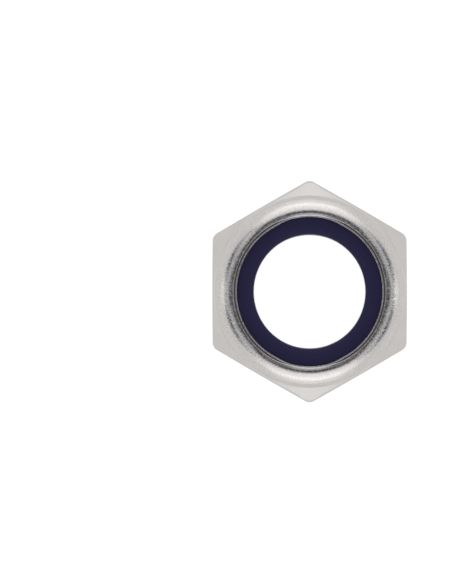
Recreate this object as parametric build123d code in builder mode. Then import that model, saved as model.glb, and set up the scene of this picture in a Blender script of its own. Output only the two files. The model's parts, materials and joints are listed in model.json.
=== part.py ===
"""Nylon insert lock nut, metric coarse thread M16, thin hexagon type.

Two pieces. The nut body is one cold-forged hexagon with a round collar at its top, bored for the
thread and recessed for the insert, and the collar's rim is rolled over inwards. The insert is a
plain ring held captive between the seat of that recess and the rolled rim.

The axis is Z. The bearing face lies on Z = 0 and the collar points up. Two corners of the hexagon
lie on Y, two flats face along X. Lengths are in millimetres, angles in degrees. Chamfer and
countersink angles are measured from the horizontal.
"""

from build123d import *

import math
import os

# Thread, bored plain to its minor radius, with a countersink at each end
thread_diameter = 16.0
thread_pitch = 2.0
thread_flank_angle = 30.0
bearing_countersink_margin = 0.45
bearing_countersink_angle = 30.0
seat_countersink_margin = 0.1
seat_countersink_angle = 45.0

# Hexagon, chamfered by a cone at each end
flat_count = 6
across_flats = 24.0
hexagon_corner_radius = 0.45
blank_margin = 0.05
bearing_face_margin = 0.2
bearing_chamfer_angle = 37.0
bearing_rim_radius = 0.4
bearing_corner_radius = 1.2
shoulder_chamfer_angle = 48.0
shoulder_corner_radius = 0.85

# Height over all, and the collar with its rolled rim
nut_height = 16.0
collar_height = 3.7
collar_step = 0.22
collar_wall = 1.15
collar_root_radius = 0.3
rim_roll_radius = 2.1
rim_reach = 0.75
rim_land_roll_radius = 1.3
rim_land_angle = 12.0
rim_edge_chamfer = 0.08

# Insert ring, and the recess that it fills
insert_height = 3.35
insert_bore_step = 0.02
insert_bore_chamfer = 0.2
insert_seat_chamfer = 0.3
insert_clearance = 0.05
recess_chamfer = 0.55

# Radii and heights that follow from the sizes above
half_flat_angle = 180 / flat_count
thread_depth = 0.625 * math.cos(math.radians(thread_flank_angle)) * thread_pitch
minor_radius = thread_diameter / 2 - thread_depth
bearing_mouth_radius = thread_diameter / 2 + bearing_countersink_margin
seat_mouth_radius = thread_diameter / 2 + seat_countersink_margin
flat_radius = across_flats / 2
corner_centre_reach = (flat_radius - hexagon_corner_radius) / math.cos(math.radians(half_flat_angle))
blank_radius = corner_centre_reach + hexagon_corner_radius + blank_margin
bearing_radius = flat_radius - bearing_face_margin
shoulder_height = nut_height - collar_height
collar_radius = flat_radius - collar_step
recess_radius = collar_radius - collar_wall
roll_centre_radius = collar_radius - rim_roll_radius
roll_centre_height = nut_height - rim_roll_radius
rim_bore_radius = roll_centre_radius - rim_reach
rim_underside = nut_height - collar_wall
seat_height = rim_underside - insert_height
insert_radius = recess_radius - insert_clearance
insert_bore_radius = minor_radius - insert_bore_step


def rise(run, angle):
    """Height that a slope at this angle to the horizontal gains over a radial run."""
    return run * math.tan(math.radians(angle))


bearing_chamfer_height = rise(blank_radius - bearing_radius, bearing_chamfer_angle)
shoulder_chamfer_height = rise(blank_radius - collar_radius, shoulder_chamfer_angle)
bearing_countersink_depth = rise(bearing_mouth_radius - minor_radius, bearing_countersink_angle)
seat_countersink_depth = rise(seat_mouth_radius - minor_radius, seat_countersink_angle)

# Nut body: the half section of the blank, turned round the axis and cut to the hexagon
with BuildPart() as nut_body:
    with BuildSketch(Plane.XZ):
        with BuildLine():
            # Bearing face, chamfer, corner of the hexagon, shoulder chamfer and collar wall
            FilletPolyline(
                (bearing_mouth_radius, 0),
                (bearing_radius, 0),
                (blank_radius, bearing_chamfer_height),
                (blank_radius, shoulder_height - shoulder_chamfer_height),
                (collar_radius, shoulder_height),
                (collar_radius, roll_centre_height),
                radius=[
                    bearing_rim_radius,
                    bearing_corner_radius,
                    shoulder_corner_radius,
                    collar_root_radius,
                ],
            )

            # Rim rolled over the insert, then a land that slopes to the sheared end of the wall
            CenterArc((roll_centre_radius, roll_centre_height), rim_roll_radius, 0, 90)
            land_roll = CenterArc(
                (roll_centre_radius, nut_height - rim_land_roll_radius),
                rim_land_roll_radius,
                90,
                rim_land_angle,
            )
            land_start = land_roll @ 1
            land_end_radius = rim_bore_radius + rim_edge_chamfer
            land_end_height = land_start.Y - rise(land_start.X - land_end_radius, rim_land_angle)

            # Sheared end of the rim, recess for the insert, its seat, and the countersunk thread bore
            Polyline(
                land_start,
                (land_end_radius, land_end_height),
                (rim_bore_radius, land_end_height - rim_edge_chamfer),
                (rim_bore_radius, rim_underside),
                (recess_radius - recess_chamfer, rim_underside),
                (recess_radius, rim_underside - recess_chamfer),
                (recess_radius, seat_height),
                (seat_mouth_radius, seat_height),
                (minor_radius, seat_height - seat_countersink_depth),
                (minor_radius, bearing_countersink_depth),
                (bearing_mouth_radius, 0),
            )
        make_face()
    revolve(axis=Axis.Z)

    with BuildSketch(Plane.XY) as hexagon:
        RegularPolygon(flat_radius, flat_count, major_radius=False, rotation=half_flat_angle)
        fillet(hexagon.vertices(), hexagon_corner_radius)
    extrude(amount=nut_height, mode=Mode.INTERSECT)
nut_body.part.label = "nut_body"

# Insert ring on its seat, its upper outside corner sloped as the recess is under the rolled rim
with BuildPart() as nylon_insert:
    with BuildSketch(Plane.XZ) as ring:
        with BuildLine():
            Polyline(
                (insert_bore_radius, seat_height),
                (insert_radius, seat_height),
                (insert_radius, rim_underside),
                (insert_bore_radius, rim_underside),
                close=True,
            )
        make_face()
        bore_corners, rim_corners = ring.vertices().group_by(Axis.X)
        seat_corner, upper_corner = rim_corners.sort_by(Axis.Y)
        chamfer(bore_corners, insert_bore_chamfer)
        chamfer(seat_corner, insert_seat_chamfer)
        chamfer(upper_corner, recess_chamfer)
    revolve(axis=Axis.Z)
nylon_insert.part.label = "nylon_insert"

os.makedirs("parts", exist_ok=True)
export_step(nut_body.part, "parts/nut_body.step")
export_step(nylon_insert.part, "parts/nylon_insert.step")
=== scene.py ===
"""Nylon insert lock nut, M16, standing on a pale floor and seen from above its collar.

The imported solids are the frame. The nut's body gets a skin whose forged edges are softened and whose
bore has the real helical thread, and the insert becomes a ring with moulded edges. Lengths are in
metres, except where a name says otherwise.
"""

import json
import logging
import math
from collections.abc import Callable
from dataclasses import dataclass
from enum import Enum

import bmesh
import bpy
from bpy.types import Material, Node, NodeSocket, NodeTree, Object
from mathutils import Matrix, Vector


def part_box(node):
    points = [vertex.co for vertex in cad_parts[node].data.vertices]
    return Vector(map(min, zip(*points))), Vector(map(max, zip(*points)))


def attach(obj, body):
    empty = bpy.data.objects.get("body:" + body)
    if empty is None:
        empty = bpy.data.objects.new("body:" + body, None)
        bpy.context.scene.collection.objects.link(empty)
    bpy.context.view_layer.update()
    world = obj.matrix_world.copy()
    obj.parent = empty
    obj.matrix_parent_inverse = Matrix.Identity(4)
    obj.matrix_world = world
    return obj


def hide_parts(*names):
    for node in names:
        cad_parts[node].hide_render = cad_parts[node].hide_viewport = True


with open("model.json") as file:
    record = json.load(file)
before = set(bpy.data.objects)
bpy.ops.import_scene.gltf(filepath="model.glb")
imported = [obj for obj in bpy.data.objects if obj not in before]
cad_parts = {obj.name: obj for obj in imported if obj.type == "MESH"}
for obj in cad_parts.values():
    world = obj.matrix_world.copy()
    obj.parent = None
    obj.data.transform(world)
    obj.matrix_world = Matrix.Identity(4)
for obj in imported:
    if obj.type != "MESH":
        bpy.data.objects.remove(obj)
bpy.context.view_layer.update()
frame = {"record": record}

MM = 0.001
MERGE_DISTANCE = 0.001 * MM
# Margins that tell faces and points apart by their place
HAIR = 0.01 * MM
MARGIN = 0.1 * MM
SMOOTH_BELOW = math.radians(35)
SMOOTH = {"interpolation_type": "SMOOTHSTEP"}
log = logging.getLogger("lock_nut")


class Mode(Enum):
    """The two modes in which a mesh is worked on."""

    OBJECT = "OBJECT"
    EDIT = "EDIT"


class Finish(Enum):
    """The finishes of the nut's steel, with the painted shade on the rim's land, in the order of its
    material slots.
    """

    FORGED = 0
    TURNED = 1
    # Painted shade: a darker copy of the forged steel on the rim's land and lip, for the dark gap
    # overhead that they reflect
    LAND = 2
    STAINED = 3


def linear(hex_code: str) -> tuple[float, float, float, float]:
    """Turns an sRGB hex colour into linear values.

    Args:
        hex_code: Six hex digits after a hash.

    Returns:
        Linear red, green and blue, and an alpha of 1.
    """
    channels = [int(hex_code[i:i + 2], 16) / 255 for i in (1, 3, 5)]
    red, green, blue = [c / 12.92 if c <= 0.04045 else ((c + 0.055) / 1.055) ** 2.4 for c in channels]
    return red, green, blue, 1.0


def share_between(value: float, start: float, end: float) -> float:
    """Says how far a value has gone from start to end, as a share from 0 to 1."""
    return min(max((value - start) / (end - start), 0), 1)


def eased(share: float) -> float:
    """Gives a share that changes slowly near 0 and near 1."""
    return share * share * (3 - 2 * share)


def mount_radius(name: str) -> float:
    """Gives the radius of one of the part's mounts."""
    mount = next(m for m in frame["record"]["mounts"] if m["name"] == name)
    return mount["dims"]["r_mm"] * MM


def add_node(tree: NodeTree, kind: str, settings: dict[str, object] | None = None,
             inputs: dict[str | int, object] | None = None) -> Node:
    """Adds one node, with its settings, its fixed inputs and its links.

    Args:
        tree: Node tree that the node goes into.
        kind: Blender's name of the node's type.
        settings: Properties of the node itself.
        inputs: For each input socket a value, or the output socket that feeds it.

    Returns:
        The new node.
    """
    node = tree.nodes.new(kind)
    for key, value in (settings or {}).items():
        setattr(node, key, value)
    for key, value in (inputs or {}).items():
        if isinstance(value, NodeSocket):
            tree.links.new(value, node.inputs[key])
        else:
            node.inputs[key].default_value = value
    return node


def new_material(name: str) -> tuple[Material, NodeTree, Node]:
    """Makes a material with nodes.

    Args:
        name: Its name.

    Returns:
        The material, its node tree and its Principled shader.
    """
    material = bpy.data.materials.new(name)
    material.use_nodes = True
    return material, material.node_tree, material.node_tree.nodes["Principled BSDF"]


def enter(mode: Mode) -> None:
    """Switches the active piece to a mode."""
    bpy.ops.object.mode_set(mode=mode.value)


def activate(piece: Object) -> None:
    """Makes a piece the only one selected, and active."""
    bpy.ops.object.select_all(action="DESELECT")
    piece.select_set(True)
    bpy.context.view_layer.objects.active = piece


def select_vertices(piece: Object, wanted: Callable[[Vector], bool]) -> None:
    """Selects vertices of the piece in edit mode by their place.

    Args:
        piece: The piece, active and in edit mode.
        wanted: Says whether a vertex at this place is selected.
    """
    bpy.ops.mesh.select_mode(type="VERT")
    bpy.ops.mesh.select_all(action="DESELECT")
    mesh = bmesh.from_edit_mesh(piece.data)
    for vertex in mesh.verts:
        vertex.select_set(wanted(vertex.co))
    mesh.select_flush_mode()
    bmesh.update_edit_mesh(piece.data)


def dress_faces(piece: Object, finish: Finish, wanted: Callable[[Vector], bool]) -> None:
    """Gives a finish to faces of a piece, chosen by the place of their middle.

    Args:
        piece: The piece, in object mode, with a material slot for each finish.
        finish: The finish that they get.
        wanted: Says whether a face with this middle gets it.
    """
    activate(piece)
    enter(Mode.EDIT)
    bpy.ops.mesh.select_mode(type="FACE")
    bpy.ops.mesh.select_all(action="DESELECT")
    mesh = bmesh.from_edit_mesh(piece.data)
    for face in mesh.faces:
        face.select_set(wanted(face.calc_center_median()))
    bmesh.update_edit_mesh(piece.data)
    piece.active_material_index = finish.value
    bpy.ops.object.material_slot_assign()
    enter(Mode.OBJECT)


class SectionPen:
    """Draws a half section in the XZ plane by extruding and spinning one vertex of a new mesh."""

    def __init__(self, name: str, radius: float, height: float) -> None:
        """Starts a mesh with one vertex.

        Args:
            name: Name of the piece.
            radius: Distance of the first point from the axis.
            height: Height of the first point.
        """
        bpy.ops.object.select_all(action="DESELECT")
        bpy.ops.mesh.primitive_plane_add(size=MM)
        self.piece = bpy.context.object
        self.piece.name = name
        self.piece.data.name = name
        enter(Mode.EDIT)
        bpy.ops.mesh.select_mode(type="VERT")
        bpy.ops.mesh.select_all(action="SELECT")
        bpy.ops.mesh.merge(type="CENTER")
        bpy.ops.transform.translate(value=(radius, 0, height))
        self.place = Vector((radius, 0, height))

    def line_to(self, radius: float, height: float, spacing: float = 0.0) -> None:
        """Draws a straight run.

        Args:
            radius: Distance of its end from the axis.
            height: Height of its end.
            spacing: Distance between the points along it, or 0 for the end alone.
        """
        target = Vector((radius, 0, height))
        run = target - self.place
        count = max(1, round(run.length / spacing)) if spacing else 1
        for _ in range(count):
            bpy.ops.mesh.extrude_vertices_move(TRANSFORM_OT_translate={"value": run / count})
        self.place = target

    def arc(self, centre_radius: float, centre_height: float, degrees: float, steps: int) -> None:
        """Draws an arc from where the pen stands.

        Args:
            centre_radius: Distance of the arc's centre from the axis.
            centre_height: Height of the centre.
            degrees: Angle of the arc, positive from +X towards +Z.
            steps: Number of chords.
        """
        centre = Vector((centre_radius, 0, centre_height))
        angle = math.radians(degrees)
        bpy.ops.mesh.spin(steps=steps, angle=angle, center=centre, axis=(0, 1, 0))
        self.place = centre + Matrix.Rotation(-angle, 3, "Y") @ (self.place - centre)

    def corner(self, radius: float, height: float, next_radius: float, next_height: float,
               rounding: float, steps: int, spacing: float = 0.0) -> None:
        """Draws a straight run up to a rounded corner, and the rounding.

        Args:
            radius: Distance of the sharp corner from the axis.
            height: Height of the sharp corner.
            next_radius: Distance from the axis of the point that the pen turns to.
            next_height: Height of that point.
            rounding: Radius of the rounding.
            steps: Number of chords round it.
            spacing: Distance between the points along the straight run.
        """
        corner = Vector((radius, 0, height))
        into = (corner - self.place).normalized()
        out = (Vector((next_radius, 0, next_height)) - corner).normalized()
        turn = math.atan2(into.x * out.z - into.z * out.x, into.dot(out))
        tangent = corner - into * (rounding * math.tan(abs(turn) / 2))
        side = math.copysign(rounding, turn)
        centre = tangent + Vector((-into.z, 0, into.x)) * side
        self.line_to(tangent.x, tangent.z, spacing)
        self.arc(centre.x, centre.z, math.degrees(turn), steps)

    def turn(self, columns: tuple[tuple[float, int], ...]) -> Object:
        """Closes the section and turns it once round the Z axis.

        Args:
            columns: Angles in degrees and the number of steps for each, adding up to 360 degrees.

        Returns:
            The turned piece, closed and with its faces outwards.
        """
        bpy.ops.mesh.select_all(action="SELECT")
        bpy.ops.mesh.remove_doubles(threshold=MERGE_DISTANCE)
        for degrees, steps in columns:
            bpy.ops.mesh.spin(steps=steps, angle=math.radians(degrees), center=(0, 0, 0), axis=(0, 0, 1))
        bpy.ops.mesh.select_all(action="SELECT")
        bpy.ops.mesh.remove_doubles(threshold=MERGE_DISTANCE)
        bpy.ops.mesh.normals_make_consistent(inside=False)
        enter(Mode.OBJECT)
        return self.piece


@dataclass
class NutBody:
    """The forged stainless nut: hexagon, collar with its rolled rim, insert recess and thread."""

    node: str = "nut_body"

    # Hexagon, with a chamfer at its bearing end and another below the collar
    flat_count: int = 6
    corner_radius: float = 0.2 * MM
    bearing_margin: float = 0.2 * MM
    bearing_chamfer_degrees: float = 37.0
    bearing_rim_radius: float = 0.4 * MM
    bearing_corner_radius: float = 1.2 * MM
    shoulder_chamfer_degrees: float = 48.0
    shoulder_corner_radius: float = 0.85 * MM

    # Between its chamfers each corner bulges a little, and reaches farthest out at this height
    low_corner_reach: float = 13.79 * MM
    crown_reach: float = 13.8 * MM
    crown_height: float = 5.0 * MM
    crown_radius: float = 91.0 * MM
    high_corner_reach: float = 13.69 * MM

    # Collar, its rolled rim, and the land that slopes from the roll to the sheared end of the wall
    collar_height: float = 3.7 * MM
    collar_step: float = 0.22 * MM
    collar_wall: float = 1.15 * MM
    collar_root_radius: float = 0.06 * MM
    roll_radius: float = 2.1 * MM
    rim_reach: float = 0.75 * MM
    rim_land_roll_radius: float = 1.3 * MM
    rim_land_degrees: float = 4.0
    rim_land_end: float = 9.31 * MM
    rim_edge_radius: float = 0.03 * MM
    stain_groove_width: float = 0.21 * MM
    stain_groove_depth: float = 0.15 * MM
    lip_drop: float = 0.03 * MM

    # Closing the rim left it oval. It also pinched the land inwards and pushed the lip down and out
    # near both Y ends, from the first to the second of these sines of the angle from X
    oval: tuple[float, float, float] = (0.9985, 1.0095, 1.0)
    oval_margin: float = 0.4 * MM
    oval_fade: float = 1.6 * MM
    pinch_sines: tuple[float, float] = (0.88, 0.985)
    pinch_reach: float = 0.13 * MM
    pinch_drop: float = 0.034 * MM
    lip_spread: float = 0.14 * MM
    lip_sink: float = 0.16 * MM

    # The roll sinks between the X and Y ends, from nothing to the most over each pair of sines, and
    # deepest this far outside the roll's centre
    sag: float = 0.035 * MM
    sag_reach: float = 0.25 * MM
    sag_start_sines: tuple[float, float] = (0.06, 0.36)
    sag_end_sines: tuple[float, float] = (0.84, 0.66)

    # Recess for the insert, and the mouths of the bore at the bearing face and at the insert's seat
    recess_chamfer: float = 0.55 * MM
    insert_height: float = 3.35 * MM
    bearing_mouth_margin: float = 0.45 * MM
    bearing_mouth_degrees: float = 30.0
    seat_mouth_margin: float = 0.1 * MM
    seat_mouth_degrees: float = 45.0

    # Thread. Its hole is drilled 14.2 mm wide, which 6H allows, and not to the least 13.8 mm
    thread_pitch: float = 2.0 * MM
    thread_flank_degrees: float = 30.0
    crest_play: float = 0.185 * MM
    # The tap's ridge starts this far inside the bore's wall, and below the bearing face
    tap_overlap: float = 0.4 * MM
    tap_lead_turns: float = 1.1

    # Fineness of the mesh. The columns are those of one sixth of a turn, closest at the corner
    columns: tuple[tuple[float, int], ...] = ((24, 16), (12, 24), (24, 16))
    corner_segments: int = 24
    edge_steps: int = 3
    root_steps: int = 4
    shoulder_steps: int = 6
    bearing_corner_steps: int = 8
    roll_steps: int = 24
    land_roll_steps: int = 2
    thread_steps: int = 120
    edge_spacing: float = 0.12 * MM
    flat_spacing: float = 0.5 * MM
    face_spacing: float = 1.0 * MM
    fine_band: float = 0.6 * MM
    land_spacing: float = 0.07 * MM
    softening_steps: int = 4
    softening_band: float = 1.0 * MM

    def __post_init__(self) -> None:
        """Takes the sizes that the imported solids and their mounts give."""
        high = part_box(self.node)[1]
        self.height = high.z
        self.flat_radius = high.x
        least_radius = mount_radius("thread")
        self.minor_radius = least_radius + self.crest_play
        # A metric thread is 5/8 as deep as the full triangle of its flanks is high
        flank = math.radians(self.thread_flank_degrees)
        self.major_radius = least_radius + 0.625 * math.cos(flank) * self.thread_pitch
        self.collar_radius = self.flat_radius - self.collar_step
        self.roll_centre = self.collar_radius - self.roll_radius
        self.rim_bore = self.roll_centre - self.rim_reach
        self.shoulder_height = self.height - self.collar_height
        self.rim_underside = self.height - self.collar_wall
        self.recess_radius = self.collar_radius - self.collar_wall
        self.seat_height = self.rim_underside - self.insert_height

    def draw_rim(self, pen: SectionPen) -> None:
        """Draws the rolled rim: roll, land, the stained groove where it was sheared, and its lip.

        Args:
            pen: The pen, standing where the collar's wall ends.
        """
        edge = self.rim_edge_radius
        pen.arc(self.roll_centre, self.height - self.roll_radius, 90, self.roll_steps)
        pen.arc(self.roll_centre, self.height - self.rim_land_roll_radius,
                self.rim_land_degrees, self.land_roll_steps)
        fall = (pen.place.x - self.rim_land_end) * math.tan(math.radians(self.rim_land_degrees))
        land_end = (self.rim_land_end, pen.place.z - fall)
        groove_outer = (self.rim_land_end, land_end[1] - self.stain_groove_depth)
        groove_inner = (self.rim_land_end - self.stain_groove_width, groove_outer[1])
        lip_start = (groove_inner[0], land_end[1] - self.lip_drop)
        lip_end = (self.rim_bore, lip_start[1])
        self.land_start = pen.place.x
        self.land_end = Vector((land_end[0], 0, land_end[1]))
        self.lip_start = Vector((lip_start[0], 0, lip_start[1]))
        pen.corner(*land_end, *groove_outer, edge, self.edge_steps, self.land_spacing)
        pen.line_to(*groove_outer)
        pen.line_to(*groove_inner)
        pen.corner(*lip_start, *lip_end, edge, self.edge_steps)
        pen.corner(*lip_end, self.rim_bore, self.rim_underside, edge, self.edge_steps)
        pen.line_to(self.rim_bore, self.rim_underside)

    def draw_blank(self) -> Object:
        """Turns the blank, before its flats are pressed and its thread is cut.

        Returns:
            The blank.
        """
        fine = self.edge_spacing
        mouth = self.major_radius + self.bearing_mouth_margin
        mouth_depth = (mouth - self.minor_radius) * math.tan(math.radians(self.bearing_mouth_degrees))
        seat_mouth = self.major_radius + self.seat_mouth_margin
        seat_depth = (seat_mouth - self.minor_radius) * math.tan(math.radians(self.seat_mouth_degrees))
        face_radius = self.flat_radius - self.bearing_margin
        low_slope = math.tan(math.radians(self.bearing_chamfer_degrees))
        high_slope = math.tan(math.radians(self.shoulder_chamfer_degrees))
        low_corner = (self.low_corner_reach, (self.low_corner_reach - face_radius) * low_slope)
        crown = (self.crown_reach, self.crown_height)
        high_rise = (self.high_corner_reach - self.collar_radius) * high_slope
        high_corner = (self.high_corner_reach, self.shoulder_height - high_rise)
        root = (self.collar_radius, self.shoulder_height)
        wall_end = (self.collar_radius, self.height - self.roll_radius)

        pen = SectionPen("nut_body_skin", self.minor_radius, mouth_depth)
        pen.line_to(mouth, 0)
        pen.line_to(face_radius - self.fine_band, 0, self.face_spacing)
        pen.corner(face_radius, 0, *low_corner, self.bearing_rim_radius, self.edge_steps, fine)
        pen.corner(*low_corner, *crown, self.bearing_corner_radius, self.bearing_corner_steps, fine)
        pen.corner(*crown, *high_corner, self.crown_radius, self.shoulder_steps, self.flat_spacing)
        pen.corner(*high_corner, *root, self.shoulder_corner_radius, self.shoulder_steps,
                   self.flat_spacing)
        pen.corner(*root, *wall_end, self.collar_root_radius, self.root_steps, fine)
        pen.line_to(*wall_end, self.flat_spacing)
        self.draw_rim(pen)
        pen.line_to(self.recess_radius - self.recess_chamfer, self.rim_underside)
        pen.line_to(self.recess_radius, self.rim_underside - self.recess_chamfer)
        pen.line_to(self.recess_radius, self.seat_height)
        pen.line_to(seat_mouth, self.seat_height)
        pen.line_to(self.minor_radius, self.seat_height - seat_depth)
        pen.line_to(self.minor_radius, mouth_depth)
        return pen.turn(self.columns * self.flat_count)

    def press_flats(self, blank: Object) -> None:
        """Presses the blank into the rounded hexagon, as its forging die does.

        Args:
            blank: The turned blank.
        """
        half_corner = math.pi / self.flat_count
        bpy.ops.object.select_all(action="DESELECT")
        # The die is higher than the nut at both ends, so that only its sides press
        bpy.ops.mesh.primitive_cylinder_add(
            vertices=self.flat_count, radius=self.flat_radius / math.cos(half_corner),
            depth=self.height * 4)
        die = bpy.context.object
        enter(Mode.EDIT)
        bpy.ops.mesh.select_mode(type="EDGE")
        bpy.ops.mesh.select_all(action="DESELECT")
        mesh = bmesh.from_edit_mesh(die.data)
        for edge in mesh.edges:
            first, second = edge.verts
            edge.select_set(abs(first.co.z - second.co.z) > self.height)
        bmesh.update_edit_mesh(die.data)
        bpy.ops.mesh.bevel(
            offset=self.corner_radius * math.tan(half_corner), segments=self.corner_segments)
        enter(Mode.OBJECT)
        activate(blank)
        press = blank.modifiers.new("flats", "SHRINKWRAP")
        press.target = die
        press.wrap_method = "NEAREST_SURFACEPOINT"
        press.wrap_mode = "INSIDE"
        bpy.ops.object.modifier_apply(modifier=press.name)
        bpy.data.objects.remove(die)

    def soften_edges(self, blank: Object) -> None:
        """Rounds the edges between flats and chamfers a little, as forging and tumbling leave them.

        Args:
            blank: The blank with its flats.
        """

        def on_hexagon(point: Vector) -> bool:
            """Says whether a point lies on the hexagon or its chamfers."""
            low = point.z < self.height / 2
            inner = self.collar_radius - self.softening_band if low else self.collar_radius + MARGIN
            return point.z < self.shoulder_height - MARGIN and point.xy.length > inner

        activate(blank)
        enter(Mode.EDIT)
        select_vertices(blank, on_hexagon)
        bpy.ops.mesh.vertices_smooth(factor=0.5, repeat=self.softening_steps)
        enter(Mode.OBJECT)

    def sag_roll(self, blank: Object) -> None:
        """Sinks the roll a little between the X and Y ends, so that the land leans outwards there.

        Args:
            blank: The blank with its flats.
        """
        lowest = self.roll_centre + self.sag_reach
        for vertex in blank.data.vertices:
            radius = vertex.co.xy.length
            if vertex.co.z < self.height - self.roll_radius or radius < self.land_end.x:
                continue
            sine = abs(vertex.co.y) / radius
            shares = (
                share_between(sine, *self.sag_start_sines),
                share_between(sine, *self.sag_end_sines),
                share_between(radius, self.land_end.x, lowest),
                share_between(radius, self.collar_radius, lowest))
            vertex.co.z -= self.sag * math.prod(eased(share) for share in shares)

    def close_rim(self, blank: Object) -> None:
        """Leaves the rim as closing it over the insert did: a little oval, and pinched at both Y ends.

        At these ends the land reaches farther in and hides the groove, and the lip lies lower.

        Args:
            blank: The blank with its flats.
        """
        activate(blank)
        enter(Mode.EDIT)
        select_vertices(blank, lambda c: c.z > self.rim_underside - MERGE_DISTANCE
                        and c.xy.length < self.roll_centre + self.oval_margin)
        mesh = bmesh.from_edit_mesh(blank.data)
        groove = self.land_end.x - self.stain_groove_width / 2
        land_edge = self.land_end.z - 2 * self.rim_edge_radius
        for vertex in mesh.verts:
            radius = vertex.co.xy.length
            if not vertex.select or radius > self.land_start:
                continue
            share = share_between(abs(vertex.co.y) / radius, *self.pinch_sines)
            if radius < groove:
                vertex.co.xy *= 1 + eased(share) * self.lip_spread / radius
                if vertex.co.z > self.rim_underside + MARGIN:
                    vertex.co.z -= eased(share) * self.lip_sink
            elif vertex.co.z > land_edge:
                inwards = ((self.land_start - radius) / (self.land_start - self.land_end.x)) ** 2
                vertex.co.xy *= 1 - eased(share) * inwards * self.pinch_reach / radius
                vertex.co.z -= share ** 3 * inwards * self.pinch_drop
        bmesh.update_edit_mesh(blank.data)
        bpy.ops.transform.resize(
            value=self.oval, center_override=(0, 0, self.height), use_proportional_edit=True,
            use_proportional_connected=True, proportional_edit_falloff="SMOOTH",
            proportional_size=self.oval_fade)
        enter(Mode.OBJECT)

    def make_tap(self) -> Object:
        """Makes the tap that cuts the thread: a right-hand helical ridge with 60 degree flanks.

        Returns:
            The tap, closed, reaching past both ends of the bore.
        """
        pitch = self.thread_pitch
        slope = math.tan(math.radians(self.thread_flank_degrees))
        core = self.minor_radius - self.tap_overlap
        # The groove's root is an eighth of the pitch wide
        tip_half = pitch / 16
        core_half = tip_half + (self.major_radius - core) * slope
        start = -self.tap_lead_turns * pitch
        pen = SectionPen("tap", core, start - core_half)
        pen.line_to(self.major_radius, start - tip_half)
        pen.line_to(self.major_radius, start + tip_half)
        pen.line_to(core, start + core_half)
        bpy.ops.mesh.select_all(action="SELECT")
        bpy.ops.mesh.edge_face_add()
        enter(Mode.OBJECT)
        tap = pen.piece
        activate(tap)
        helix = tap.modifiers.new("helix", "SCREW")
        helix.axis = "Z"
        helix.screw_offset = pitch
        helix.iterations = math.ceil((self.seat_height - start) / pitch) + 1
        helix.steps = self.thread_steps
        helix.render_steps = self.thread_steps
        bpy.ops.object.modifier_apply(modifier=helix.name)
        enter(Mode.EDIT)
        bpy.ops.mesh.select_all(action="SELECT")
        bpy.ops.mesh.remove_doubles(threshold=MERGE_DISTANCE)
        bpy.ops.mesh.select_all(action="DESELECT")
        bpy.ops.mesh.select_mode(type="EDGE")
        bpy.ops.mesh.select_non_manifold()
        bpy.ops.mesh.fill()
        bpy.ops.mesh.select_all(action="SELECT")
        bpy.ops.mesh.normals_make_consistent(inside=False)
        enter(Mode.OBJECT)
        return tap

    def cut_thread(self, blank: Object) -> None:
        """Cuts the thread into the bore.

        Args:
            blank: The pressed blank.
        """
        tap = self.make_tap()
        activate(blank)
        cut = blank.modifiers.new("thread", "BOOLEAN")
        cut.operation = "DIFFERENCE"
        cut.solver = "EXACT"
        cut.object = tap
        bpy.ops.object.modifier_apply(modifier=cut.name)
        bpy.data.objects.remove(tap)

    def dress_rim(self, blank: Object, steel: dict[Finish, Material]) -> None:
        """Gives the outside the forged finish, the rim's land a darker copy of it as painted shade, and
        its stained groove its own finish.

        Args:
            blank: The blank, with its rim still round.
            steel: The finishes of the steel.
        """
        for finish in Finish:
            blank.data.materials.append(steel[finish])
        land_start = self.roll_centre - MARGIN / 2
        groove_start = self.lip_start.x - 2 * HAIR
        groove_end = self.land_end.x + 2 * HAIR
        groove_bottom = self.rim_underside + HAIR
        groove_top = self.lip_start.z - HAIR
        # The land and lip get the painted shade, a darker copy of the forged steel
        dress_faces(blank, Finish.LAND, lambda c: c.z > groove_bottom and c.xy.length < land_start)
        dress_faces(blank, Finish.STAINED, lambda c: groove_bottom < c.z < groove_top
                    and groove_start < c.xy.length < groove_end)

    def dress_bore(self, body: Object) -> None:
        """Gives the bearing face, the thread, the recess and the rim's underside the turned finish.

        Args:
            body: The finished mesh.
        """
        inside = self.recess_radius + MARGIN
        underside = self.rim_underside + HAIR
        dress_faces(body, Finish.TURNED,
                    lambda c: c.z < HAIR or (c.z < underside and c.xy.length < inside))

    def build(self, steel: dict[Finish, Material]) -> Object:
        """Makes the nut's body.

        Args:
            steel: The finishes of the steel.

        Returns:
            The finished piece.
        """
        body = self.draw_blank()
        self.press_flats(body)
        self.soften_edges(body)
        self.dress_rim(body, steel)
        self.sag_roll(body)
        self.close_rim(body)
        self.cut_thread(body)
        self.dress_bore(body)
        bpy.ops.object.shade_smooth_by_angle(angle=SMOOTH_BELOW)
        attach(body, "root")
        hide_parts(self.node)
        return body


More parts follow.
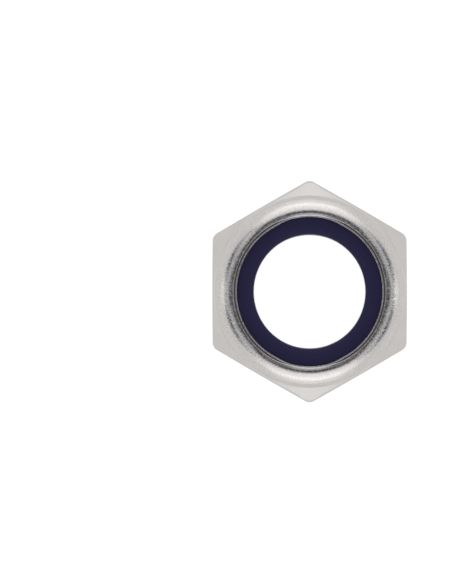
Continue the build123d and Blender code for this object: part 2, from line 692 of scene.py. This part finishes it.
@dataclass
class InsertRing:
    """The nylon ring that the rim holds, with the small radii that its mould gives its edges."""

    node: str = "nylon_insert"
    edge_radius: float = 0.1 * MM
    seat_edge_radius: float = 0.3 * MM
    rim_slope: float = 0.55 * MM
    rim_slope_radius: float = 0.35 * MM
    # Its bore went oval when the rim was closed over it
    bore_oval: tuple[float, float, float] = (0.9938, 1.0124, 1.0)
    edge_steps: int = 6
    slope_steps: int = 4
    quarter_steps: int = 48

    def __post_init__(self) -> None:
        """Takes the ring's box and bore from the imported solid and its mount."""
        low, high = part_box(self.node)
        self.bottom = low.z
        self.top = high.z
        self.rim = high.y
        self.bore = mount_radius("locking_bore")

    def build(self, nylon: Material) -> Object:
        """Makes the ring.

        Args:
            nylon: Its finish.

        Returns:
            The finished piece.
        """
        middle = (self.bottom + self.top) / 2
        slope_start = (self.rim, self.top - self.rim_slope)
        slope_end = (self.rim - self.rim_slope, self.top)
        pen = SectionPen("nylon_insert_ring", self.bore, middle)
        pen.corner(self.bore, self.bottom, self.rim, self.bottom, self.edge_radius, self.edge_steps)
        pen.corner(self.rim, self.bottom, *slope_start, self.seat_edge_radius, self.edge_steps)
        pen.corner(*slope_start, *slope_end, self.rim_slope_radius, self.slope_steps)
        pen.corner(*slope_end, self.bore, self.top, self.rim_slope_radius, self.slope_steps)
        pen.corner(self.bore, self.top, self.bore, middle, self.edge_radius, self.edge_steps)
        pen.line_to(self.bore, middle)
        ring = pen.turn(((90, self.quarter_steps),) * 4)
        ring.data.materials.append(nylon)
        activate(ring)
        enter(Mode.EDIT)
        select_vertices(ring, lambda c: c.xy.length < self.bore + self.edge_radius + HAIR)
        bpy.ops.transform.resize(value=self.bore_oval, center_override=(0, 0, middle))
        enter(Mode.OBJECT)
        bpy.ops.object.shade_smooth_by_angle(angle=SMOOTH_BELOW)
        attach(ring, "root")
        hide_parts(self.node)
        return ring


@dataclass(frozen=True)
class AxisPlaces:
    """Sockets that give the place of a point on a piece that stands round the Z axis.

    The section joins radius and height, so that a pattern on it runs round the axis.
    """

    place: NodeSocket
    flat: NodeSocket
    radius: NodeSocket
    height: NodeSocket
    section: NodeSocket

    @classmethod
    def add(cls, tree: NodeTree) -> "AxisPlaces":
        """Adds the nodes to a material.

        Args:
            tree: The material's node tree.

        Returns:
            Their sockets.
        """
        place = add_node(tree, "ShaderNodeTexCoord").outputs["Object"]
        parts = add_node(tree, "ShaderNodeSeparateXYZ", inputs={"Vector": place}).outputs
        flat = add_node(tree, "ShaderNodeCombineXYZ", inputs={
            "X": parts["X"], "Y": parts["Y"]}).outputs[0]
        radius = add_node(tree, "ShaderNodeVectorMath", {"operation": "LENGTH"}, {
            0: flat}).outputs["Value"]
        section = add_node(tree, "ShaderNodeCombineXYZ", inputs={
            "X": radius, "Z": parts["Z"]}).outputs[0]
        return cls(place, flat, radius, parts["Z"], section)


@dataclass(frozen=True)
class TumbledStainless:
    """Cold-forged austenitic stainless, tumbled and pickled.

    The eye sees a pale, even satin with clouds a few millimetres wide, faint rings round the
    shoulders where the blank was faced, and on the rolled rim fine radial streaks that break
    reflections up, where closing it drew the skin inwards.
    """

    name: str = "tumbled_pickled_stainless"
    pale: str = "#c6c3c1"
    dull: str = "#bcb9b7"
    roughness: float = 0.17
    roughness_spread: float = 0.05
    # Share of a plain mirror's brightness that steel keeps near grazing
    edge_tint: float = 0.85
    cloud_mm: float = 2.2
    cloud_depth_mm: float = 0.008
    # Facing marks are about 0.05 mm apart on such a nut, too fine to show, and are drawn wider
    ring_mm: float = 0.3
    ring_depth_mm: float = 0.008
    # They fade out over these radii towards the corners, and over these heights towards the rim
    ring_radii_mm: tuple[float, float] = (11.9, 13.4)
    ring_heights_mm: tuple[float, float] = (12.3, 12.9)
    # Streaks are three times as long as wide, and also lighten and darken the steel a little
    streak_mm: float = 0.1
    streak_length: float = 3.0
    streak_depth_mm: float = 0.012
    streak_shade: float = 0.32

    def add_streaks(self, tree: NodeTree, at: AxisPlaces) -> NodeSocket:
        """Adds the radial streaks.

        Args:
            tree: The material's node tree.
            at: Sockets of the place.

        Returns:
            The socket that gives their height, as a share.
        """
        outwards = add_node(tree, "ShaderNodeVectorMath", {"operation": "NORMALIZE"}, {0: at.flat})
        around = add_node(tree, "ShaderNodeVectorMath", {"operation": "SCALE"}, {
            0: outwards.outputs["Vector"], "Scale": self.ring_radii_mm[0] * MM})
        along = add_node(tree, "ShaderNodeMath", {"operation": "SUBTRACT"}, {0: at.radius, 1: at.height})
        along = add_node(tree, "ShaderNodeMath", {"operation": "DIVIDE"}, {
            0: along.outputs[0], 1: self.streak_length})
        shift = add_node(tree, "ShaderNodeCombineXYZ", inputs={"Z": along.outputs[0]})
        place = add_node(tree, "ShaderNodeVectorMath", {"operation": "ADD"}, {
            0: around.outputs["Vector"], 1: shift.outputs[0]})
        return add_node(tree, "ShaderNodeTexNoise", inputs={
            "Vector": place.outputs["Vector"], "Scale": 1 / (self.streak_mm * MM),
            "Detail": 0.0}).outputs["Fac"]

    def make(self) -> Material:
        """Builds the material."""
        material, tree, shader = new_material(self.name)
        at = AxisPlaces.add(tree)
        clouds = add_node(tree, "ShaderNodeTexNoise", inputs={
            "Vector": at.place, "Scale": 1 / (self.cloud_mm * MM), "Detail": 4.0,
            "Roughness": 0.6}).outputs["Fac"]
        rings = add_node(tree, "ShaderNodeTexNoise", inputs={
            "Vector": at.section, "Scale": 1 / (self.ring_mm * MM), "Detail": 1.0}).outputs["Fac"]
        streaks = self.add_streaks(tree, at)

        inner, outer = self.ring_radii_mm
        low, high = self.ring_heights_mm
        near_axis = add_node(tree, "ShaderNodeMapRange", SMOOTH, {
            "Value": at.radius, "From Min": outer * MM, "From Max": inner * MM}).outputs[0]
        below_rim = add_node(tree, "ShaderNodeMapRange", SMOOTH, {
            "Value": at.height, "From Min": high * MM, "From Max": low * MM}).outputs[0]
        faced = add_node(tree, "ShaderNodeMath", {"operation": "MULTIPLY"}, {
            0: near_axis, 1: below_rim}).outputs[0]
        on_rim = add_node(tree, "ShaderNodeMath", {"operation": "SUBTRACT"}, {
            0: 1.0, 1: below_rim}).outputs[0]

        normal = add_node(tree, "ShaderNodeBump", inputs={
            "Height": clouds, "Distance": self.cloud_depth_mm * MM}).outputs[0]
        for height, depth_mm, strength in (
                (rings, self.ring_depth_mm, faced), (streaks, self.streak_depth_mm, on_rim)):
            normal = add_node(tree, "ShaderNodeBump", inputs={
                "Height": height, "Distance": depth_mm * MM, "Strength": strength,
                "Normal": normal}).outputs[0]

        shade = add_node(tree, "ShaderNodeMath", {"operation": "SUBTRACT"}, {0: streaks, 1: 0.5})
        shade = add_node(tree, "ShaderNodeMath", {"operation": "MULTIPLY"}, {
            0: shade.outputs[0], 1: on_rim})
        shade = add_node(tree, "ShaderNodeMath", {"operation": "MULTIPLY_ADD"}, {
            0: shade.outputs[0], 1: self.streak_shade, 2: 1.0})
        colour = add_node(tree, "ShaderNodeMix", {"data_type": "RGBA"}, {
            "Factor": clouds, "A": linear(self.pale), "B": linear(self.dull)})
        colour = add_node(tree, "ShaderNodeVectorMath", {"operation": "SCALE"}, {
            0: colour.outputs["Result"], "Scale": shade.outputs[0]})
        rough = add_node(tree, "ShaderNodeMapRange", inputs={
            "Value": clouds, "From Min": 0.3, "From Max": 0.7,
            "To Min": self.roughness - self.roughness_spread / 2,
            "To Max": self.roughness + self.roughness_spread / 2})
        tint = self.edge_tint
        shader.inputs["Metallic"].default_value = 1.0
        shader.inputs["Specular Tint"].default_value = (tint, tint, tint, 1)
        tree.links.new(colour.outputs["Vector"], shader.inputs["Base Color"])
        tree.links.new(rough.outputs[0], shader.inputs["Roughness"])
        tree.links.new(normal, shader.inputs["Normal"])
        return material


@dataclass(frozen=True)
class TurnedStainless:
    """The same steel where a tool cut it: bearing face, countersinks, thread, recess and seat.

    The eye sees close metal with fine rings that run round the axis.
    """

    name: str = "turned_stainless"
    pale: str = "#c8c5c2"
    dull: str = "#aeaaa6"
    roughness: float = 0.24
    # Tool marks are about 0.05 mm apart, too fine to show, and are drawn wider
    ring_mm: float = 0.16
    ring_depth_mm: float = 0.006

    def make(self) -> Material:
        """Builds the material."""
        material, tree, shader = new_material(self.name)
        rings = add_node(tree, "ShaderNodeTexNoise", inputs={
            "Vector": AxisPlaces.add(tree).section, "Scale": 1 / (self.ring_mm * MM),
            "Detail": 2.0}).outputs["Fac"]
        bump = add_node(tree, "ShaderNodeBump", inputs={
            "Height": rings, "Distance": self.ring_depth_mm * MM})
        colour = add_node(tree, "ShaderNodeMix", {"data_type": "RGBA"}, {
            "Factor": rings, "A": linear(self.pale), "B": linear(self.dull)})
        shader.inputs["Metallic"].default_value = 1.0
        shader.inputs["Roughness"].default_value = self.roughness
        tree.links.new(colour.outputs["Result"], shader.inputs["Base Color"])
        tree.links.new(bump.outputs[0], shader.inputs["Normal"])
        return material


@dataclass(frozen=True)
class MouldedNylon:
    """Navy polyamide 66, injection moulded.

    The eye sees a deep, even blue-black with a soft sheen and the faint orange peel of the mould.
    """

    name: str = "moulded_navy_nylon"
    deep: str = "#171436"
    lighter: str = "#1c193c"
    roughness: float = 0.24
    ior: float = 1.5
    peel_mm: float = 0.35
    peel_depth_mm: float = 0.006

    def make(self) -> Material:
        """Builds the material."""
        material, tree, shader = new_material(self.name)
        place = add_node(tree, "ShaderNodeTexCoord").outputs["Object"]
        peel = add_node(tree, "ShaderNodeTexNoise", inputs={
            "Vector": place, "Scale": 1 / (self.peel_mm * MM), "Detail": 3.0}).outputs["Fac"]
        bump = add_node(tree, "ShaderNodeBump", inputs={
            "Height": peel, "Distance": self.peel_depth_mm * MM})
        colour = add_node(tree, "ShaderNodeMix", {"data_type": "RGBA"}, {
            "Factor": peel, "A": linear(self.deep), "B": linear(self.lighter)})
        shader.inputs["Roughness"].default_value = self.roughness
        shader.inputs["IOR"].default_value = self.ior
        tree.links.new(colour.outputs["Result"], shader.inputs["Base Color"])
        tree.links.new(bump.outputs[0], shader.inputs["Normal"])
        return material


@dataclass(frozen=True)
class PaleFloor:
    """Matt white table top that keeps a faint shadow."""

    radius: float = 60.0 * MM
    side_count: int = 96
    drop: float = 0.02 * MM
    paint: str = "#f4f4f4"
    glow: float = 0.985
    shadow_share: float = 0.05

    def make_paint(self) -> Material:
        """Builds the floor's material: white to the eye, and a plain matt surface to other light."""
        material, tree, _ = new_material("matt_white_table")
        tree.nodes.clear()
        path = add_node(tree, "ShaderNodeLightPath").outputs
        seen = path["Is Camera Ray"]
        for ray in ("Is Glossy Ray", "Is Transmission Ray"):
            seen = add_node(tree, "ShaderNodeMath", {"operation": "MAXIMUM"}, {
                0: seen, 1: path[ray]}).outputs[0]
        share = self.shadow_share
        glow = add_node(tree, "ShaderNodeEmission", inputs={"Strength": self.glow})
        faint = add_node(tree, "ShaderNodeBsdfDiffuse", inputs={"Color": (share, share, share, 1)})
        both = add_node(tree, "ShaderNodeAddShader", inputs={0: glow.outputs[0], 1: faint.outputs[0]})
        matt = add_node(tree, "ShaderNodeBsdfDiffuse", inputs={"Color": linear(self.paint)})
        mix = add_node(tree, "ShaderNodeMixShader", inputs={
            0: seen, 1: matt.outputs[0], 2: both.outputs[0]})
        add_node(tree, "ShaderNodeOutputMaterial", inputs={"Surface": mix.outputs[0]})
        return material

    def build(self) -> Object:
        """Lays the floor just under the bearing face."""
        bpy.ops.object.select_all(action="DESELECT")
        bpy.ops.mesh.primitive_circle_add(
            vertices=self.side_count, radius=self.radius, fill_type="NGON",
            location=(0, 0, -self.drop))
        floor = bpy.context.object
        floor.name = "table_top"
        floor.data.materials.append(self.make_paint())
        return floor


@dataclass(frozen=True)
class TentSpot:
    """A round or oval spot on the tent, the same on both sides of X and of Y, with a soft edge.

    Its place and its half widths are sines of the angle from straight up, along X and along Y. Its
    edge starts and ends at these shares of its size. The paint is that of a dark spot.
    """

    place: tuple[float, float]
    size: tuple[float, float]
    edge: tuple[float, float]
    paint: str = "#ffffff"


@dataclass(frozen=True)
class LightTent:
    """White tent with a round soft box at each end of Y, a window at each end of X, and dark spots.

    The dark spots are the gap for the lens overhead and four poles. The two lists give levels of
    white against degrees from straight up, for the cloth and for the boxes. The windows' limits are
    sines, like those of the spots.
    """

    cloth: tuple[tuple[float, float], ...] = (
        (0, 0.48), (8, 0.51), (14, 0.55), (20, 0.6), (28, 0.71), (36, 0.85), (42, 0.93), (50, 0.98),
        (65, 0.99), (90, 1.03), (100, 1.05), (180, 1.05))
    soft_boxes: tuple[tuple[float, float], ...] = (
        (0, 0.8), (12, 1.0), (18, 1.22), (24, 1.34), (36, 1.44), (45, 1.56), (55, 1.74),
        (62, 1.77), (70, 1.72), (80, 1.52), (87, 1.35), (92, 1.36), (95, 1.38), (101, 1.38),
        (104, 1.02), (180, 1.02))
    brightest: float = 1.8
    box: TentSpot = TentSpot((0.0, 0.62), (0.4, 0.45), (0.62, 1.45))
    lens: TentSpot = TentSpot((0.0, 0.0), (0.27, 0.19), (0.4, 1.4), "#292d38")
    pole: TentSpot = TentSpot((0.55, 0.24), (0.19, 0.13), (0.5, 1.4), "#0a1e38")
    window_near_end: tuple[float, float] = (0.2, 0.45)
    window_far_end: tuple[float, float] = (0.86, 1.0)
    window_half_width: tuple[float, float] = (0.0, 0.12)
    window_gain: float = 0.75
    # The dark spots are on the upper half only, above this fade
    horizon: tuple[float, float] = (-0.1, 0.1)

    def add_spot(self, tree: NodeTree, way: NodeSocket, spot: TentSpot,
                 inside: float, outside: float) -> NodeSocket:
        """Adds a spot on the tent.

        Args:
            tree: The world's node tree.
            way: Direction of the look, folded into positive X and Y.
            spot: The spot.
            inside: Level inside it.
            outside: Level outside it.

        Returns:
            The socket that gives the level.
        """
        away = add_node(tree, "ShaderNodeVectorMath", {"operation": "SUBTRACT"}, {
            0: way, 1: (*spot.place, 0)})
        flat = add_node(tree, "ShaderNodeVectorMath", {"operation": "MULTIPLY"}, {
            0: away.outputs["Vector"], 1: (1 / spot.size[0], 1 / spot.size[1], 0)})
        distance = add_node(tree, "ShaderNodeVectorMath", {"operation": "LENGTH"}, {
            0: flat.outputs["Vector"]})
        return add_node(tree, "ShaderNodeMapRange", SMOOTH, {
            "Value": distance.outputs["Value"], "From Min": spot.edge[0], "From Max": spot.edge[1],
            "To Min": inside, "To Max": outside}).outputs[0]

    def add_cloth(self, tree: NodeTree, way: NodeSocket, height: NodeSocket) -> NodeSocket:
        """Adds the cloth and the soft boxes, each with its levels.

        Args:
            tree: The world's node tree.
            way: Direction of the look, folded into positive X and Y.
            height: Cosine of its angle from straight up.

        Returns:
            The socket that gives the level, as a share of the brightest.
        """
        angle = add_node(tree, "ShaderNodeMath", {"operation": "ARCCOSINE"}, {0: height})
        turn = add_node(tree, "ShaderNodeMath", {"operation": "DIVIDE"}, {
            0: angle.outputs[0], 1: math.pi})
        shares = []
        for levels in (self.cloth, self.soft_boxes):
            ramp = add_node(tree, "ShaderNodeValToRGB", inputs={"Fac": turn.outputs[0]})
            ramp.color_ramp.interpolation = "CARDINAL"
            stops = ramp.color_ramp.elements
            while len(stops) < len(levels):
                stops.new(0.5)
            for stop, (degrees, level) in zip(stops, levels):
                share = level / self.brightest
                stop.position = degrees / 180
                stop.color = (share, share, share, 1)
            shares.append(ramp.outputs["Color"])
        return add_node(tree, "ShaderNodeMix", {"data_type": "RGBA"}, {
            "Factor": self.add_spot(tree, way, self.box, 1, 0),
            "A": shares[0], "B": shares[1]}).outputs["Result"]

    def add_dark_spots(self, tree: NodeTree, way: NodeSocket, height: NodeSocket,
                       cloth: NodeSocket) -> NodeSocket:
        """Adds the gap for the lens and the poles.

        Args:
            tree: The world's node tree.
            way: Direction of the look, folded into positive X and Y.
            height: Cosine of its angle from straight up.
            cloth: The socket that gives the tent without them.

        Returns:
            The socket that gives the tent with them.
        """
        start, end = self.horizon
        below = add_node(tree, "ShaderNodeMapRange", SMOOTH, {
            "Value": height, "From Min": start, "From Max": end, "To Min": 1, "To Max": 0})
        for spot in (self.lens, self.pole):
            clear = add_node(tree, "ShaderNodeMath", {"operation": "MAXIMUM"}, {
                0: self.add_spot(tree, way, spot, 0, 1), 1: below.outputs[0]})
            cloth = add_node(tree, "ShaderNodeMix", {"data_type": "RGBA"}, {
                "Factor": clear.outputs[0], "A": linear(spot.paint), "B": cloth}).outputs["Result"]
        return cloth

    def add_windows(self, tree: NodeTree, way: NodeSocket) -> NodeSocket:
        """Adds the windows, which brighten what lies at both ends of X.

        Args:
            tree: The world's node tree.
            way: Direction of the look, folded into positive X and Y.

        Returns:
            The socket that gives the strength of the light.
        """
        sides = add_node(tree, "ShaderNodeSeparateXYZ", inputs={"Vector": way}).outputs
        gain = self.window_gain
        for side, (start, end), before, after in (
                (sides["X"], self.window_near_end, 0, 1),
                (sides["X"], self.window_far_end, 1, 0),
                (sides["Y"], self.window_half_width, 1, 0)):
            fade = add_node(tree, "ShaderNodeMapRange", SMOOTH, {
                "Value": side, "From Min": start, "From Max": end, "To Min": before, "To Max": after})
            gain = add_node(tree, "ShaderNodeMath", {"operation": "MULTIPLY"}, {
                0: gain, 1: fade.outputs[0]}).outputs[0]
        return add_node(tree, "ShaderNodeMath", {"operation": "MULTIPLY_ADD"}, {
            0: gain, 1: self.brightest, 2: self.brightest}).outputs[0]

    def build(self) -> None:
        """Makes the tent as the world, with a plain white backdrop for what the eye sees."""
        world = bpy.data.worlds.new("light_tent")
        bpy.context.scene.world = world
        world.use_nodes = True
        tree = world.node_tree
        tree.nodes.clear()
        look = add_node(tree, "ShaderNodeTexCoord").outputs["Generated"]
        height = add_node(tree, "ShaderNodeSeparateXYZ", inputs={"Vector": look}).outputs["Z"]
        way = add_node(tree, "ShaderNodeVectorMath", {"operation": "ABSOLUTE"}, {
            0: look}).outputs["Vector"]
        cloth = self.add_dark_spots(tree, way, height, self.add_cloth(tree, way, height))
        inside = add_node(tree, "ShaderNodeBackground", inputs={
            "Color": cloth, "Strength": self.add_windows(tree, way)})
        backdrop = add_node(tree, "ShaderNodeBackground", inputs={
            "Color": (1, 1, 1, 1), "Strength": 1.0})
        path = add_node(tree, "ShaderNodeLightPath").outputs
        mix = add_node(tree, "ShaderNodeMixShader", inputs={
            0: path["Is Camera Ray"], 1: inside.outputs[0], 2: backdrop.outputs[0]})
        add_node(tree, "ShaderNodeOutputWorld", inputs={"Surface": mix.outputs[0]})


@dataclass(frozen=True)
class TopCamera:
    """Camera on the nut's axis, aimed aside so that the nut lies to the right, as in the photograph."""

    picture: tuple[int, int] = (452, 584)
    nut_centre_px: tuple[float, float] = (309.55, 291.65)
    # Scale of the picture at this height on the nut
    pixels_per_mm: float = 8.09
    scale_height: float = 11.0 * MM
    distance: float = 0.5

    def build(self) -> None:
        """Places the camera so that the nut lies where it does in the photograph."""
        width, height = self.picture
        column, row = self.nut_centre_px
        pixel = MM / self.pixels_per_mm
        depth = self.distance - self.scale_height
        data = bpy.data.cameras.new("top_camera")
        data.sensor_fit = "VERTICAL"
        data.sensor_height = data.sensor_width
        data.lens = data.sensor_height * depth / (height * pixel)
        camera = bpy.data.objects.new("top_camera", data)
        camera.location = (0, 0, self.distance)
        aside = math.atan((column - width / 2) * pixel / depth)
        upwards = math.atan((row - height / 2) * pixel / depth)
        camera.rotation_euler = (upwards, aside, 0)
        bpy.context.scene.collection.objects.link(camera)
        bpy.context.scene.camera = camera


def report(piece: Object) -> None:
    """Logs a piece's name and number of faces."""
    log.info("%s: %d faces", piece.name, len(piece.data.polygons))


def main() -> None:
    """Builds the nut, its floor, its light and its camera in order."""
    logging.basicConfig(level=logging.INFO, format="%(name)s %(message)s")
    # The rim's land gets a darker copy of the steel, painted shade for the dark gap over the nut that it
    # reflects, and the rim's sheared end is rough and stained brown
    steel = {
        Finish.FORGED: TumbledStainless().make(),
        Finish.TURNED: TurnedStainless().make(),
        Finish.LAND: TumbledStainless(
            name="rubbed_rim_land", pale="#b7b4b4", dull="#aba8a9", roughness=0.18).make(),
        Finish.STAINED: TurnedStainless(
            name="stained_sheared_groove", pale="#685d59", dull="#483f3c", roughness=0.45,
            ring_mm=0.2).make(),
    }
    report(NutBody().build(steel))
    report(InsertRing().build(MouldedNylon().make()))
    report(PaleFloor().build())
    LightTent().build()
    TopCamera().build()
    bpy.context.scene.view_settings.view_transform = "Standard"


if __name__ == "__main__":
    main()
